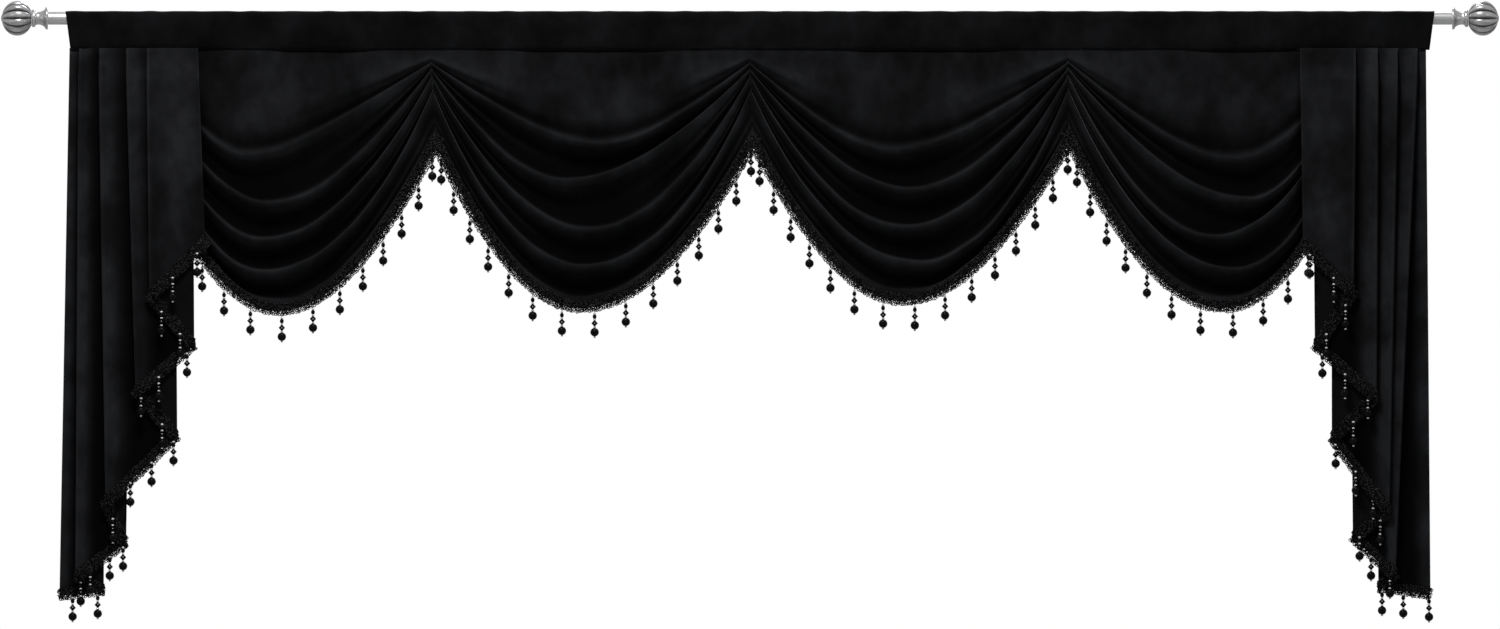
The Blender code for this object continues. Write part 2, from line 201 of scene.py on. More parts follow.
def noise_on_object(nodes, links, scale, detail, stretch=(1.0, 1.0, 1.0)):
    """Noise on object coordinates, drawn out along an axis where stretch is below 1."""
    place = nodes.new("ShaderNodeTexCoord")
    mapping = nodes.new("ShaderNodeMapping")
    mapping.inputs["Scale"].default_value = stretch
    noise = nodes.new("ShaderNodeTexNoise")
    noise.inputs["Scale"].default_value = scale
    noise.inputs["Detail"].default_value = detail
    links.new(place.outputs["Object"], mapping.inputs["Vector"])
    links.new(mapping.outputs["Vector"], noise.inputs["Vector"])
    return noise.outputs["Fac"]


def spread(nodes, links, value, low, high, from_low=0.3, from_high=0.7):
    """Map a noise to a range, or to a range of colours where low and high are colours."""
    if isinstance(low, tuple):
        ramp = nodes.new("ShaderNodeValToRGB")
        ramp.color_ramp.elements[0].position = from_low
        ramp.color_ramp.elements[0].color = (*low, 1.0)
        ramp.color_ramp.elements[1].position = from_high
        ramp.color_ramp.elements[1].color = (*high, 1.0)
        links.new(value, ramp.inputs["Fac"])
        return ramp.outputs["Color"]
    span = nodes.new("ShaderNodeMapRange")
    span.inputs["From Min"].default_value = from_low
    span.inputs["From Max"].default_value = from_high
    span.inputs["To Min"].default_value = low
    span.inputs["To Max"].default_value = high
    links.new(value, span.inputs["Value"])
    return span.outputs["Result"]


def product(nodes, links, first, second):
    """One output times another."""
    node = nodes.new("ShaderNodeMath")
    node.operation = "MULTIPLY"
    links.new(first, node.inputs[0])
    links.new(second, node.inputs[1])
    return node.outputs["Value"]


def bump(nodes, links, shader, value, strength, distance):
    """Let a value raise the shader's surface, by distance at most."""
    node = nodes.new("ShaderNodeBump")
    node.inputs["Strength"].default_value = strength
    node.inputs["Distance"].default_value = distance
    links.new(value, node.inputs["Height"])
    links.new(node.outputs["Normal"], shader.inputs["Normal"])


rod_silver, nodes, links, shader = node_material("rod_silver")
shader.inputs["Metallic"].default_value = 0.75
streaks = noise_on_object(nodes, links, 900.0, 3.0, (0.02, 1.0, 1.0))
smudges = noise_on_object(nodes, links, 14.0, 3.0)
links.new(spread(nodes, links, smudges, (0.50, 0.50, 0.51), (0.58, 0.58, 0.59)),
          shader.inputs["Base Color"])
links.new(spread(nodes, links, streaks, 0.30, 0.42), shader.inputs["Roughness"])
bump(nodes, links, shader, streaks, 0.15, 0.0002)

rod_profile = (
    (-ROD_HALF_LENGTH, 0.0),
    (-ROD_HALF_LENGTH, ROD_RADIUS - ROD_EDGE),
    (-ROD_HALF_LENGTH + ROD_EDGE, ROD_RADIUS),
    *((step / 8.0 * ROD_HALF_LENGTH, ROD_RADIUS) for step in range(-7, 8)),
    (ROD_HALF_LENGTH - ROD_EDGE, ROD_RADIUS),
    (ROD_HALF_LENGTH, ROD_RADIUS - ROD_EDGE),
    (ROD_HALF_LENGTH, 0.0),
)
rod = add_piece("curtain_rod", turned_mesh("curtain_rod", rod_profile, TURNED_SIDES, 0.0, 1.0),
                rod_silver, 40.0)
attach(rod, "root")
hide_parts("rod")


# Each finial is a cast and plated ball with deep flutes from end to end, on a turned neck
# with a flange that closes the rod's end. It is pushed into the tube and pinned.
NECK_PROFILE = (
    (0.0003, 0.0), (0.0003, 0.0212), (0.0010, 0.0222), (0.0028, 0.0226), (0.0044, 0.0219),
    (0.0052, 0.0206), (0.0066, 0.0180), (0.0090, 0.0156), (0.0120, 0.0141), (0.0160, 0.0129),
    (0.0200, 0.0125), (0.0228, 0.0130), (0.0246, 0.0139), (0.0253, 0.0150), (0.0258, 0.0166),
    (0.0270, 0.0173), (0.0290, 0.0175), (0.0312, 0.0173), (0.0322, 0.0166), (0.0328, 0.0154),
    (0.0330, 0.0),
)
BALL_RADIUS = 0.0355
BALL_HALF_LENGTH = 0.031
BALL_MIDDLE = 0.0616
BALL_FOOT = 0.0333
FLUTES = 12
FLUTE_DEPTH = 0.13
FLUTE_FADE = 2.2
FLUTE_SHARPNESS = 1.6
BALL_SIDES = 144
BALL_RINGS = 44
BUTTON_RADIUS = 0.0065
BUTTON_HEIGHT = 0.0015

finial_silver, nodes, links, shader = node_material("finial_silver")
shader.inputs["Metallic"].default_value = 0.75
tarnish = noise_on_object(nodes, links, 55.0, 4.0)
scratches = noise_on_object(nodes, links, 1400.0, 2.0)
groove = nodes.new("ShaderNodeAttribute")
groove.attribute_name = "groove"
# The colour is darker deep in the grooves.
groove_darkened = nodes.new("ShaderNodeVectorMath")
groove_darkened.operation = "SCALE"
links.new(spread(nodes, links, tarnish, (0.44, 0.44, 0.45), (0.58, 0.58, 0.59)),
          groove_darkened.inputs[0])
links.new(spread(nodes, links, groove.outputs["Fac"], 1.0, 0.16, 0.02, 0.75),
          groove_darkened.inputs["Scale"])
links.new(groove_darkened.outputs["Vector"], shader.inputs["Base Color"])
links.new(spread(nodes, links, tarnish, 0.24, 0.36), shader.inputs["Roughness"])
bump(nodes, links, shader, scratches, 0.08, 0.0002)


def fluted_ball_points(start_x, direction):
    """Rings of the ball from its flat foot out to its tip, where a small button sits.

    Also how deep in a groove each point lies, from 0 to 1; the colour is darker there.
    """
    foot_turn = math.acos((BALL_MIDDLE - BALL_FOOT) / BALL_HALF_LENGTH)
    latitude = np.linspace(foot_turn, math.pi, BALL_RINGS)[:, None]
    angle = np.linspace(0.0, math.tau, BALL_SIDES, endpoint=False)[None, :]
    height = BALL_MIDDLE - BALL_HALF_LENGTH * np.cos(latitude) + 0.0 * angle
    crown = np.abs(np.sin(angle * FLUTES / 2.0))
    fade = np.clip(np.sin(latitude) * FLUTE_FADE, 0.0, 1.0)
    groove = fade * (1.0 - crown) ** FLUTE_SHARPNESS
    radius = BALL_RADIUS * np.sin(latitude) * (1.0 - FLUTE_DEPTH * groove)
    button = np.sqrt(np.clip(1.0 - (radius / BUTTON_RADIUS) ** 2, 0.0, 1.0))
    height = height + np.where(latitude > math.pi / 2.0, BUTTON_HEIGHT * button, 0.0)
    foot = np.zeros((1, BALL_SIDES))
    height = np.concatenate([foot + BALL_FOOT, height])
    radius = np.concatenate([foot, radius])
    groove = np.concatenate([foot, groove])
    turn = np.repeat(angle, len(height), axis=0)
    return np.stack([start_x + direction * height, radius * np.cos(turn),
                     radius * np.sin(turn)], axis=-1), groove


for side, direction in (("left", -1.0), ("right", 1.0)):
    start_x = direction * ROD_HALF_LENGTH
    neck_mesh = turned_mesh("neck_" + side, NECK_PROFILE, TURNED_SIDES, start_x, direction)
    neck = add_piece("neck_" + side, neck_mesh, finial_silver, 50.0)
    ball_points, ball_groove = fluted_ball_points(start_x, direction)
    ball_mesh = grid_mesh("ball_" + side, ball_points, wrap=True)
    lay_values(ball_mesh, "groove", ball_groove)
    weld_and_face_out(ball_mesh)
    ball = add_piece("ball_" + side, ball_mesh, finial_silver, 50.0)
    for piece, node in ((neck, "finial_neck_" + side), (ball, "finial_ball_" + side)):
        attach(piece, "root")
        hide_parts(node)


# The header sleeve is one strip of the velvet, folded over the rod and sewn to the top of
# the swags, which makes the rod pocket. It hangs slack, so it wrinkles, and it draws in at
# the seam where the stitches pull.
SLEEVE_HALF_LENGTH = 1.369
SLEEVE_SLANT = 0.010
SLEEVE_BOTTOM_Z = -0.0631
SLEEVE_GAP = 0.0013
VELVET_THICKNESS = 0.001
SEAM_HALF_WIDTH = 0.0020
SLEEVE_COLUMNS = 400
SLEEVE_ARC_STEPS = 16
SLEEVE_WALL_STEPS = 12
SLACK_WAVE = 0.0016
CRINKLE_WAVE = 0.0007
PUCKER_WAVE = 0.0009
TOP_WAVE = 0.0003
BELLY = 0.0020
PROUD_BELLY = 0.0026
PROUD_LIP = 0.0034
PROUD_FADE = 0.012
SLEEVE_TONE = 0.42
SLEEVE_EDGE_SHADE = 0.06


def velvet_material(name, low, high):
    """Near-black cut pile: matt, mottled where it has been stroked, and lighter edge-on.

    The attribute it reads is painted light and shade, with the header's own tone: 0 is
    painted shade, 1 is painted light. A painted glow or highlight line may go past 1,
    because the clouds take it down again.
    """
    material, nodes, links, shader = node_material(name)
    tone_and_painted_light = nodes.new("ShaderNodeAttribute")
    tone_and_painted_light.attribute_name = "tone_and_painted_light"
    clouds = noise_on_object(nodes, links, 8.0, 6.0, (1.0, 1.0, 0.9))
    marks = noise_on_object(nodes, links, 42.0, 4.0, (1.0, 1.0, 0.7))
    stroked = product(nodes, links, spread(nodes, links, clouds, 0.31, 0.88, 0.38, 0.62),
                      spread(nodes, links, marks, 0.82, 1.18, 0.38, 0.62))
    # Painted light and shade laid on each piece lighten or darken the base colour, and the
    # clouds and marks mottle it.
    tone_light_and_mottling = product(nodes, links, tone_and_painted_light.outputs["Fac"], stroked)
    links.new(spread(nodes, links, tone_light_and_mottling, low, high, 0.0, 1.0), shader.inputs["Base Color"])
    shader.inputs["Roughness"].default_value = 1.0
    shader.inputs["Specular IOR Level"].default_value = 0.05
    shader.inputs["Sheen Weight"].default_value = 0.12
    shader.inputs["Sheen Roughness"].default_value = 0.35
    shader.inputs["Sheen Tint"].default_value = (0.66, 0.68, 0.73, 1.0)
    pile = noise_on_object(nodes, links, 1500.0, 2.0)
    bump(nodes, links, shader, pile, 0.35, 0.0006)
    return material


def back_material(name):
    """The cloth's plain woven back, dull grey with a fine even weave."""
    material, nodes, links, shader = node_material(name)
    clouds = noise_on_object(nodes, links, 18.0, 3.0)
    links.new(spread(nodes, links, clouds, (0.0024, 0.0024, 0.0025), (0.0042, 0.0042, 0.0043)),
              shader.inputs["Base Color"])
    shader.inputs["Roughness"].default_value = 0.9
    shader.inputs["Specular IOR Level"].default_value = 0.08
    threads = nodes.new("ShaderNodeTexWave")
    threads.inputs["Scale"].default_value = 420.0
    place = nodes.new("ShaderNodeTexCoord")
    links.new(place.outputs["Object"], threads.inputs["Vector"])
    bump(nodes, links, shader, threads.outputs["Fac"], 0.25, 0.0004)
    return material


velvet = velvet_material("black_velvet", (0.0006, 0.0006, 0.0006), (0.0227, 0.0235, 0.0259))
velvet_back = back_material("velvet_back")
wrinkle_seed = np.random.default_rng(11)


def soft_waves(x, z, count, low, high, lean):
    """A sum of slanted waves with wavelengths from low to high, about -1 to 1."""
    total = np.zeros(np.broadcast(x, z).shape)
    for _ in range(count):
        length = wrinkle_seed.uniform(low, high)
        tilt = wrinkle_seed.uniform(-lean, lean)
        start = wrinkle_seed.uniform(0.0, math.tau)
        total = total + np.sin((x * math.cos(tilt) + z * math.sin(tilt)) * math.tau / length
                               + start)
    return total / math.sqrt(count)


def give_thickness(piece):
    """Solidify a cloth surface, with the plain back of the cloth on its far side."""
    piece.data.materials.append(velvet_back)
    solid = piece.modifiers.new("cloth thickness", "SOLIDIFY")
    solid.thickness = VELVET_THICKNESS
    solid.offset = 0.0
    solid.use_rim = True
    solid.material_offset = 1


# Where the header stands proud of the swags and shades the seam, from x to x.
PROUD_STRETCHES = ((-1.37, -1.12), (-0.95, -0.76), (-0.46, -0.17), (0.20, 0.50), (0.90, 1.10),
                   (1.14, 1.37))


def proud_at(x):
    """How far the header stands proud of the seam at x, 0 to 1."""
    proud = 0.0 * x
    for start, end in PROUD_STRETCHES:
        proud = proud + 1.0 / (1.0 + np.exp(-(x - start) / PROUD_FADE)) / (
            1.0 + np.exp((x - end) / PROUD_FADE))
    return proud


sleeve_radius = ROD_RADIUS + SLEEVE_GAP
arc = np.linspace(math.pi, 0.0, SLEEVE_ARC_STEPS + 1)
wall = np.linspace(0.0, 1.0, SLEEVE_WALL_STEPS + 1)[1:]
# The section runs from the seam up the front wall, over the rod and down the back wall.
section_y = np.concatenate([
    np.interp(1.0 - wall[::-1], (0.0, 1.0), (-SEAM_HALF_WIDTH, -sleeve_radius)),
    sleeve_radius * np.cos(arc),
    np.interp(wall, (0.0, 1.0), (sleeve_radius, SEAM_HALF_WIDTH))])
section_z = np.concatenate([
    SLEEVE_BOTTOM_Z * wall[::-1], sleeve_radius * np.sin(arc), SLEEVE_BOTTOM_Z * wall])
# How far down its wall each point is, 0 at the rod's axis and above, and 1 at the seam.
fall = np.clip(section_z / SLEEVE_BOTTOM_Z, 0.0, 1.0)[None, :]
front = np.sign(section_y)[None, :]
along = np.linspace(-SLEEVE_HALF_LENGTH, SLEEVE_HALF_LENGTH, SLEEVE_COLUMNS)[:, None]
slack = SLACK_WAVE * soft_waves(along, section_z[None, :] * 1.6, 5, 0.10, 0.34, 0.9)
crinkle = CRINKLE_WAVE * soft_waves(along, section_z[None, :] * 1.2, 5, 0.022, 0.060, 0.7)
pucker = PUCKER_WAVE * soft_waves(along, 0.0, 4, 0.010, 0.026, 0.0)
in_wall = np.sin(math.pi * fall) ** 0.7
near_seam = np.exp(-((1.0 - fall) / 0.22) ** 2)
proud = proud_at(along)
belly = (BELLY + PROUD_BELLY * proud) * in_wall
lip = PROUD_LIP * proud * np.exp(-((1.0 - fall) / 0.30) ** 2) * (front < 0.0)
sleeve_y = section_y[None, :] + front * (
    belly + lip + (slack + crinkle) * in_wall + pucker * near_seam * (fall < 0.98))
sleeve_z = section_z[None, :] + TOP_WAVE * soft_waves(along, 0.0, 4, 0.03, 0.09, 0.0) * (
    section_z[None, :] > 0.004)
sleeve_x = along * (1.0 - SLEEVE_SLANT / SLEEVE_HALF_LENGTH * (
    (ROD_RADIUS - section_z[None, :]) / (ROD_RADIUS - SLEEVE_BOTTOM_Z)).clip(0.0))
sleeve_points = np.stack([sleeve_x, sleeve_y, sleeve_z], axis=-1)
sleeve_mesh = grid_mesh("sleeve_velvet", sleeve_points.transpose(1, 0, 2)[::-1])
# The header's own tone, with painted shade over the top of the rod and along the seam.
sleeve_tone_and_shade = SLEEVE_TONE - SLEEVE_EDGE_SHADE * (1.0 - in_wall) + 0.0 * along
lay_values(sleeve_mesh, "tone_and_painted_light", sleeve_tone_and_shade.transpose(1, 0)[::-1])
sleeve = add_piece("sleeve_velvet", sleeve_mesh, velvet)
give_thickness(sleeve)
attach(sleeve, "root")
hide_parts("header_sleeve")


# Each swag is a panel of velvet drawn up in pleats at its two sides, so that folds hang
# between them like waterfalls. A crest stands out and rolls under itself, and the cloth
# below it lies in its shadow until the next crest.
SEAM_Z = SLEEVE_BOTTOM_Z - 0.0003
PEAK_Z = -0.236
# The side seams between the swags, x at the top and x at the hem's ends. The gathers on both
# sides of a seam are sewn together, so each swag reaches past it by SEAM_OVERLAP.
SIDE_SEAMS = (
    (-1.226, -1.226), (-0.640, -0.628), (-0.002, 0.006), (0.634, 0.638), (1.220, 1.220))
SEAM_OVERLAP = 0.0010
FOLD_DEPTH = 0.028
PLEAT_DEPTH = 0.0065
SWAG_BELLY = 0.004
SWAG_FRONT_Y = -0.0012
SWAG_COLUMNS = 132
ROWS_PER_FOLD = 24
TUCK = 0.004
TUCK_BACK = 0.0014
LONG_WAVE = 0.0014
CREST_WAVE = 0.0012
SEAM_PUCKER = 0.0008
# The folds of each swag from its seam, level 0, down to its hem, level 5: x and z of the
# fold's lowest point, z of its ends, how softly it bends, and how much of its rise is steep
# and close to the seams.
HEM_LEVEL = 5.0
SWAG_FOLDS = (
    ((-0.980, SEAM_Z, SEAM_Z, 0.5, 0.0), (-1.008, -0.271, -0.089, 0.3, 0.01),
     (-0.964, -0.369, -0.101, 0.7, 0.06), (-0.974, -0.441, -0.115, 0.9, 0.13),
     (-0.970, -0.506, -0.143, 1.0, 0.22), (-0.943, -0.578, PEAK_Z, 1.05, 0.0)),
    ((-0.320, SEAM_Z, SEAM_Z, 0.5, 0.0), (-0.300, -0.249, -0.089, 0.5, 0.01),
     (-0.370, -0.323, -0.101, 0.7, 0.06), (-0.320, -0.421, -0.115, 0.9, 0.13),
     (-0.330, -0.495, -0.143, 1.0, 0.22), (-0.338, -0.572, PEAK_Z, 1.3, 0.0)),
    ((0.316, SEAM_Z, SEAM_Z, 0.5, 0.0), (0.286, -0.261, -0.089, 0.5, 0.01),
     (0.320, -0.341, -0.101, 0.7, 0.06), (0.310, -0.416, -0.115, 0.9, 0.13),
     (0.336, -0.487, -0.143, 1.0, 0.22), (0.306, -0.558, PEAK_Z, 1.0, 0.0)),
    ((0.930, SEAM_Z, SEAM_Z, 0.5, 0.0), (0.970, -0.279, -0.085, 0.5, 0.01),
     (0.996, -0.361, -0.098, 0.7, 0.06), (0.930, -0.436, -0.112, 0.9, 0.13),
     (0.970, -0.502, -0.140, 1.0, 0.22), (0.949, -0.572, -0.225, 1.0, 0.11)),
)
# How far the cloth stands out, 0 to 1, from one crest to the next: above the first crest,
# between crests in the middle and out at the sides, and from the last crest to the hem.
TOP_SHAPE = ((0.0, 0.0), (0.25, 0.10), (0.50, 0.34), (0.68, 0.46), (0.82, 0.36), (0.91, 0.08),
             (0.955, 0.04), (1.0, 1.0))
LEFT_SHAPE = ((0.0, 1.0), (0.06, 1.0), (0.20, 0.80), (0.32, 0.35), (0.42, 0.08), (0.54, 0.0),
              (0.90, 0.02), (1.0, 1.0))
MIDDLE_SHAPE = ((0.0, 1.0), (0.06, 1.0), (0.15, 0.90), (0.28, 0.50), (0.40, 0.15), (0.54, 0.03),
                (0.80, 0.0), (0.94, 0.04), (1.0, 1.0))
RIGHT_SHAPE = ((0.0, 1.0), (0.16, 1.0), (0.36, 0.86), (0.50, 0.45), (0.60, 0.12), (0.70, 0.0),
               (0.90, 0.02), (1.0, 1.0))
HEM_SHAPE = ((0.0, 1.0), (0.08, 1.0), (0.20, 0.85), (0.34, 0.45), (0.46, 0.12), (0.60, 0.02),
             (0.76, 0.04), (0.84, 0.94), (0.90, 1.0), (1.0, 0.96))
SHAPE_SOFTNESS = 0.014
STEPS_PER_LEVEL = 400
# A low ridge lies between each crest and the next one, fuller toward the side seams.
RIDGE_PHASE = 0.60
RIDGE_SPREAD = 0.085
RIDGE_HEIGHT = 0.0016
RIDGE_SIDE_HEIGHT = 0.0080
# Painted light and shade on a swag: painted light on its smooth top, more where it bellies out,
# and a painted shadow above the first crest; below that painted shade in the valleys, painted
# light on the crests and ridges, and a painted highlight line along each crest.
TOP_LIGHT = 0.57
TOP_BELLY_LIGHT = 0.50
TOP_SHADOW = 0.35
VALLEY_SHADE = 0.08
CREST_LIGHT = 0.60
RIDGE_LIGHT = 0.44
CREST_HIGHLIGHT = 0.16
# Beside a cascade's inner edge the swag lies in its shadow: x of the left and right edge,
# and how far the shadow reaches from each.
CASCADE_SHADOWS = ((-1.100, 0.012), (1.100, 0.007))
CASCADE_SHADE = 0.85


def relief_line(fold_shape):
    """One swag's shape down all its levels, with the corners of the shapes rounded off."""
    folds = int(HEM_LEVEL)
    level = np.linspace(0.0, HEM_LEVEL, folds * STEPS_PER_LEVEL + 1)
    value = np.empty_like(level)
    for fold in range(folds):
        shape = TOP_SHAPE if fold == 0 else HEM_SHAPE if fold == folds - 1 else fold_shape
        inside = (level >= fold) & (level <= fold + 1)
        value[inside] = np.interp(level[inside] - fold, *np.array(shape).T)
    softness = SHAPE_SOFTNESS * STEPS_PER_LEVEL
    reach = int(softness * 3)
    kernel = np.exp(-(np.arange(-reach, reach + 1) / softness) ** 2 / 2.0)
    padded = np.pad(value, reach, mode="edge")
    return level, np.convolve(padded, kernel / kernel.sum(), mode="valid")


relief_levels, middle_relief = relief_line(MIDDLE_SHAPE)
left_relief = relief_line(LEFT_SHAPE)[1]
right_relief = relief_line(RIGHT_SHAPE)[1]


def side_seam_x(number, z):
    """X of a side seam at height z."""
    seam = np.array(SIDE_SEAMS)[number]
    top_x, hem_x = seam[..., 0], seam[..., 1]
    return top_x + (hem_x - top_x) * (SEAM_Z - z) / (SEAM_Z - PEAK_Z)


def swag_surface(number, across, level):
    """Points on a swag and their painted light and shade: across runs -1 to 1 between its
    seams, level down its folds.
    """
    across, level = np.broadcast_arrays(across, level)
    table = np.array(SWAG_FOLDS[number])
    low_x, low_z, end_z, bend, steep = (
        np.interp(level, range(len(table)), table[:, column]) for column in range(5))
    reach = np.abs(across)
    right = (across > 0.0).astype(int)
    seam_x = side_seam_x(number + right, end_z) + np.where(right, 1.0, -1.0) * SEAM_OVERLAP
    soft = (np.hypot(reach, bend) - bend) / (np.hypot(1.0, bend) - bend)
    rise = soft * (1.0 - steep) + reach ** 4 * steep
    x = low_x + (seam_x - low_x) * reach
    z = low_z + (end_z - low_z) * rise
    at_side = np.clip(reach * 1.3, 0.0, 1.0) ** 1.5
    relief = (np.interp(level, relief_levels, middle_relief) * (1.0 - at_side)
              + np.where(right, np.interp(level, relief_levels, right_relief),
                         np.interp(level, relief_levels, left_relief)) * at_side)
    depth = FOLD_DEPTH + (PLEAT_DEPTH - FOLD_DEPTH) * reach ** 2.4
    phase = level % 1.0
    ridge = np.exp(-((phase - RIDGE_PHASE) / RIDGE_SPREAD) ** 2) * (level > 0.4) * (level < 4.9)
    ridge_height = RIDGE_SIDE_HEIGHT * np.clip((reach - 0.22) / 0.4, 0.0, 1.0) * (
        1.0 - reach ** 6) + RIDGE_HEIGHT
    y = (SWAG_FRONT_Y - SWAG_BELLY * level / HEM_LEVEL - depth * relief
         - ridge * ridge_height * (reach ** 0.5))
    # Painted light and shade from the fold's shape: lighter where the cloth stands out, darker
    # in the valleys, with a painted shadow above the first crest and a painted highlight along
    # each crest.
    top_painted_light = (TOP_LIGHT + TOP_BELLY_LIGHT * relief * (phase < 0.80)
               - TOP_SHADOW * np.exp(-((phase - 0.93) / 0.04) ** 2) * (phase < 0.97))
    crest_highlight_line = np.exp(-(np.minimum(phase, 1.0 - phase) / 0.018) ** 2)
    fold_painted_light = (VALLEY_SHADE + CREST_LIGHT * relief ** 1.4 + RIDGE_LIGHT * ridge * reach ** 1.5
                + CREST_HIGHLIGHT * crest_highlight_line)
    return np.stack([x, y, z], axis=-1), np.where(level < 1.0, top_painted_light, fold_painted_light)


def swag_mesh(name, number):
    """A swag with soft waves; its columns crowd at the sides and its rows at the crests."""
    across = np.linspace(-1.0, 1.0, SWAG_COLUMNS + 1)
    across = np.sign(across) * np.abs(across) ** 0.92
    level = np.linspace(0.0, HEM_LEVEL, int(HEM_LEVEL) * ROWS_PER_FOLD + 1)
    level = level - 0.6 * np.sin(level * math.tau) / math.tau
    points, tone_and_painted_light = swag_surface(number, across[None, :], level[:, None])
    x, z = points[..., 0], points[..., 2]
    flow = level[:, None] / HEM_LEVEL
    calm = 1.0 - np.abs(across[None, :]) ** 4
    points[..., 1] += LONG_WAVE * calm * soft_waves(x, z * 0.5, 5, 0.09, 0.30, 1.2) * (
        0.4 + flow)
    points[..., 2] += CREST_WAVE * calm * flow * soft_waves(x, z, 4, 0.08, 0.25, 0.6)
    below = SEAM_Z - z
    points[..., 1] -= (
        SEAM_PUCKER * np.exp(-below / 0.022) * (1.0 - np.exp(-(below / 0.008) ** 2))
        * (1.0 + soft_waves(x, 0.0, 4, 0.012, 0.030, 0.0)))
    points[0, :, 1:] += (TUCK_BACK, TUCK)
    (left_x, left_reach), (right_x, right_reach) = CASCADE_SHADOWS
    beside = np.maximum(np.exp(-np.clip((x - left_x) / left_reach, 0.0, None) ** 2),
                        np.exp(-np.clip((right_x - x) / right_reach, 0.0, None) ** 2))
    tone_and_painted_light = tone_and_painted_light * (1.0 - CASCADE_SHADE * beside * np.clip(below / 0.12, 0.0, 1.0))
    mesh = grid_mesh(name, points)
    lay_values(mesh, "tone_and_painted_light", tone_and_painted_light)
    return mesh


swags = {}
for number in range(len(SWAG_FOLDS)):
    name = f"swag_{number + 1}"
    swag = add_piece(name + "_velvet", swag_mesh(name + "_velvet", number), velvet)
    give_thickness(swag)
    swags[name] = swag


# Each cascade is one velvet panel folded to and fro and sewn into the header, over the end
# of the swag. Its hem is cut on a slant, so every fold shows its grey wrong side below the
# right side of the next one.
LAYERS = 9
PLEAT_PITCH = 0.0022
LAYER_PITCH = 0.006
ROLL_DEPTH = 0.007
INNER_EDGE_TURN = 0.006
CASCADE_BACK_Y = -0.0025
OPEN_Z = -0.120
CASCADE_ROWS = 78
COLUMNS_PER_LAYER = 16
TURN_STEPS = 6
# Painted light and shade on a cascade: painted light on its front layer, with a painted glow in
# the middle that is stronger on the left one, painted shade on its inner layers, painted light
# on their rolled edges, and painted highlight lines along the edges.
FRONT_LIGHT = 0.58
GLOW_LIGHT = {"left": 0.80, "right": 0.50}
INNER_SHADE = 0.02
ROLL_LIGHT = 1.05
EDGE_HIGHLIGHT = 0.40
INNER_EDGE_HIGHLIGHT = 0.35
# Where the cloth turns, from the inner edge to the outer one: x at the top, x at the hem, z
# of the hem, and the places of the drops on the hem between this turn and the next.
CASCADES = {
    "left": (
        (-1.104, -1.090, -0.440, (0.15, 0.60)), (-1.204, -1.198, -0.548, (0.25, 0.70)),
        (-1.118, -1.115, -0.647, (0.10, 0.61, 0.93)), (-1.246, -1.226, -0.740, (0.65,)),
        (-1.154, -1.149, -0.829, (0.03, 0.35, 0.66)), (-1.300, -1.286, -0.960, (0.33,)),
        (-1.236, -1.251, -1.042, (0.03, 0.31, 0.72)), (-1.340, -1.346, -1.110, (0.15,)),
        (-1.288, -1.296, -1.138, (0.10, 0.69)), (-1.361, -1.381, -1.148, ()),
    ),
    "right": (
        (1.100, 1.106, -0.446, (0.14, 0.63)), (1.210, 1.204, -0.540, (0.18, 0.72)),
        (1.128, 1.133, -0.648, (0.10, 0.49, 0.88)), (1.254, 1.250, -0.750, (0.52,)),
        (1.166, 1.167, -0.833, (0.04, 0.41, 0.73)), (1.294, 1.276, -0.978, (0.23, 0.85)),
        (1.201, 1.209, -1.032, (0.42, 0.90)), (1.334, 1.288, -1.106, ()),
        (1.256, 1.260, -1.132, (0.04, 0.46, 0.97)), (1.352, 1.361, -1.146, ()),
    ),
}


def layer_y(layer, z):
    """The depth of a layer; the layers open out below the pleats at the top."""
    pitch = PLEAT_PITCH + (LAYER_PITCH - PLEAT_PITCH) * np.clip(
        (SEAM_Z - z) / (SEAM_Z - OPEN_Z), 0.0, 1.0)
    return CASCADE_BACK_Y - pitch * (LAYERS - 1 - layer)


def cascade_columns(turns):
    """Columns of the zigzag, each (layer, top_x, hem_x, hem_z, share across, turn angle)."""
    columns = []
    for layer in range(LAYERS):
        start, end = turns[layer][:3], turns[layer + 1][:3]
        for step in range(COLUMNS_PER_LAYER + 1):
            share = (1.0 - math.cos(math.pi * step / COLUMNS_PER_LAYER)) / 2.0
            columns.append((layer, *(a + (b - a) * share for a, b in zip(start, end)),
                            share, 0.0))
        if layer < LAYERS - 1:
            for step in range(1, TURN_STEPS):
                columns.append((layer, *end, 1.0, math.pi * step / TURN_STEPS))
    return np.array(columns)


